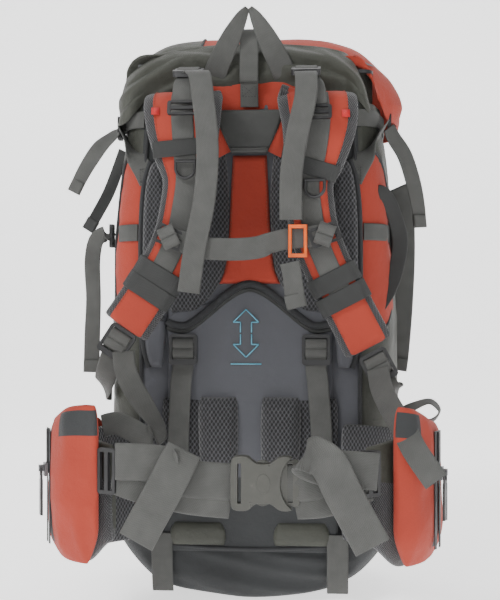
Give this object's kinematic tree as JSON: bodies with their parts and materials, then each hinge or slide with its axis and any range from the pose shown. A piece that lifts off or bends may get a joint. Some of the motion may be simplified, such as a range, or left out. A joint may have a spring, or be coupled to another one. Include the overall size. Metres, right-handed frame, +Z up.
{
  "type": "travel backpack",
  "caption": "Tall framed travel backpack with adjustable padded harness, hip belt with zipped pockets, drawcord collar, folding lid and haul loop.",
  "frame": {"origin": "centre of the flat base that the pack stands on", "axes": "+Z up the pack, +Y from the harness side to the front pocket, +X to the right when facing the harness"},
  "size_m": [0.4499, 0.4802, 0.6973],
  "materials": {
    "shell_rust": "matte",
    "shell_olive": "matte",
    "fabric_grey": "matte",
    "fabric_charcoal": "matte",
    "mesh_black": "matte",
    "webbing_grey": "matte",
    "zip_black": "matte",
    "cord_black": "matte",
    "rubber_dark": "satin",
    "plastic_black": "satin",
    "plastic_olive": "satin",
    "plastic_orange": "satin",
    "sheet_black": "satin",
    "stay_metal": "brushed"
  },
  "bodies": {
    "pack": {"back_panel": "fabric_charcoal", "side_panels": "shell_rust", "front_panel": "shell_olive", "base_panel": "fabric_charcoal", "collar": "shell_olive", "drawcord": "cord_black", "lid_rear_panel": "shell_olive", "frame_sheet": "sheet_black", "frame_stays": "stay_metal", "back_pads": "mesh_black", "lumbar_panel": "fabric_grey", "lumbar_pads": "fabric_charcoal", "hip_wing_left": "shell_olive", "hip_wing_right": "shell_olive", "hip_pockets": "shell_rust", "hip_zips": "zip_black", "hip_triglides": "plastic_black", "hip_belt_webbing": "webbing_grey", "hip_buckle_webbing": "webbing_grey", "hip_buckle_female": "plastic_olive", "load_lifter_locks": "plastic_black", "load_lifter_tails": "webbing_grey", "centre_strap": "webbing_grey", "centre_buckle": "plastic_black", "compression_straps": "webbing_grey", "compression_locks": "plastic_black", "bottom_straps": "webbing_grey", "front_pocket": "shell_rust", "lid_strap_anchors": "webbing_grey", "lid_buckle_males": "plastic_black"},
    "lid": {"lid_top": "shell_rust", "lid_floor": "shell_olive", "lid_zip": "zip_black", "lid_straps": "webbing_grey", "lid_buckle_females": "plastic_black"},
    "lid_slider": {"lid_zip_slider": "plastic_black"},
    "lid_pull": {"lid_zip_pull": "plastic_black"},
    "left_pocket_slider": {"hip_zip_slider_left": "plastic_black"},
    "left_pocket_pull": {"hip_zip_pull_left": "plastic_black"},
    "right_pocket_slider": {"hip_zip_slider_right": "plastic_black"},
    "right_pocket_pull": {"hip_zip_pull_right": "plastic_black"},
    "haul_handle": {"haul_loop": "webbing_grey"},
    "buckle_tongue": {"hip_buckle_male": "plastic_olive"},
    "harness": {"harness_plate": "fabric_grey", "yoke": "shell_rust", "back_flap": "rubber_dark", "spine_panel": "shell_rust", "mesh_panels": "mesh_black", "piping_arch": "cord_black", "shoulder_strap_left": "shell_rust", "shoulder_strap_right": "shell_rust", "strap_webbing": "webbing_grey", "strap_bands": "fabric_charcoal", "strap_locks": "plastic_black", "adjuster_webbing": "webbing_grey"},
    "left_ring": {"d_ring_left": "plastic_black"},
    "right_ring": {"d_ring_right": "plastic_black"},
    "sternum_strap": {"sternum_sliders": "plastic_black", "sternum_webbing": "webbing_grey"},
    "chest_hook": {"sternum_hook": "plastic_orange"}
  },
  "joints": [
    {"name": "harness_size", "type": "slide", "parent": "pack", "child": "harness", "axis": [0, 0, 1], "range_m": [-0.04, 0], "deforming": ["adjuster_webbing"]},
    {"name": "lid_fold", "type": "hinge", "parent": "pack", "child": "lid", "pos_m": [0, -0.098, 0.684], "axis": [1, 0, 0], "range_deg": [0, 100]},
    {"name": "lid_zip_run", "type": "slide", "parent": "lid", "child": "lid_slider", "axis": [1, 0, 0], "range_m": [-0.15, 0.03]},
    {"name": "lid_pull_swing", "type": "hinge", "parent": "lid_slider", "child": "lid_pull", "pos_m": [0.062, 0.1643, 0.6535], "axis": [1, 0, 0], "range_deg": [0, 120]},
    {"name": "left_zip_run", "type": "slide", "parent": "pack", "child": "left_pocket_slider", "axis": [0, 0, 1], "range_m": [-0.065, 0.03]},
    {"name": "left_pull_swing", "type": "hinge", "parent": "left_pocket_slider", "child": "left_pocket_pull", "pos_m": [-0.21274, -0.24909, 0.1795], "axis": [-0.4067, 0.9135, 0], "range_deg": [0, 120]},
    {"name": "right_zip_run", "type": "slide", "parent": "pack", "child": "right_pocket_slider", "axis": [0, 0, 1], "range_m": [-0.065, 0.03]},
    {"name": "right_pull_swing", "type": "hinge", "parent": "right_pocket_slider", "child": "right_pocket_pull", "pos_m": [0.21274, -0.24909, 0.1795], "axis": [-0.4067, -0.9135, 0], "range_deg": [0, 120]},
    {"name": "haul_loop_fold", "type": "hinge", "parent": "pack", "child": "haul_handle", "pos_m": [0, -0.11, 0.62], "axis": [1, 0, 0], "range_deg": [0, 50]},
    {"name": "hip_buckle_release", "type": "slide", "parent": "pack", "child": "buckle_tongue", "axis": [1, 0, 0], "range_m": [0, 0.036], "deforming": ["hip_buckle_webbing"]},
    {"name": "left_ring_swing", "type": "hinge", "parent": "harness", "child": "left_ring", "pos_m": [-0.067, -0.1822, 0.513], "axis": [-1, 0, 0], "range_deg": [0, 100]},
    {"name": "right_ring_swing", "type": "hinge", "parent": "harness", "child": "right_ring", "pos_m": [0.077, -0.1822, 0.491], "axis": [-1, 0, 0], "range_deg": [0, 100]},
    {"name": "chest_strap_height", "type": "slide", "parent": "harness", "child": "sternum_strap", "axis": [0, 0, 1], "range_m": [-0.012, 0.012]},
    {"name": "chest_hook_turn", "type": "hinge", "parent": "sternum_strap", "child": "chest_hook", "pos_m": [0.05, -0.1894, 0.423], "axis": [0, 0, -1], "range_deg": [0, 35]}
  ]
}
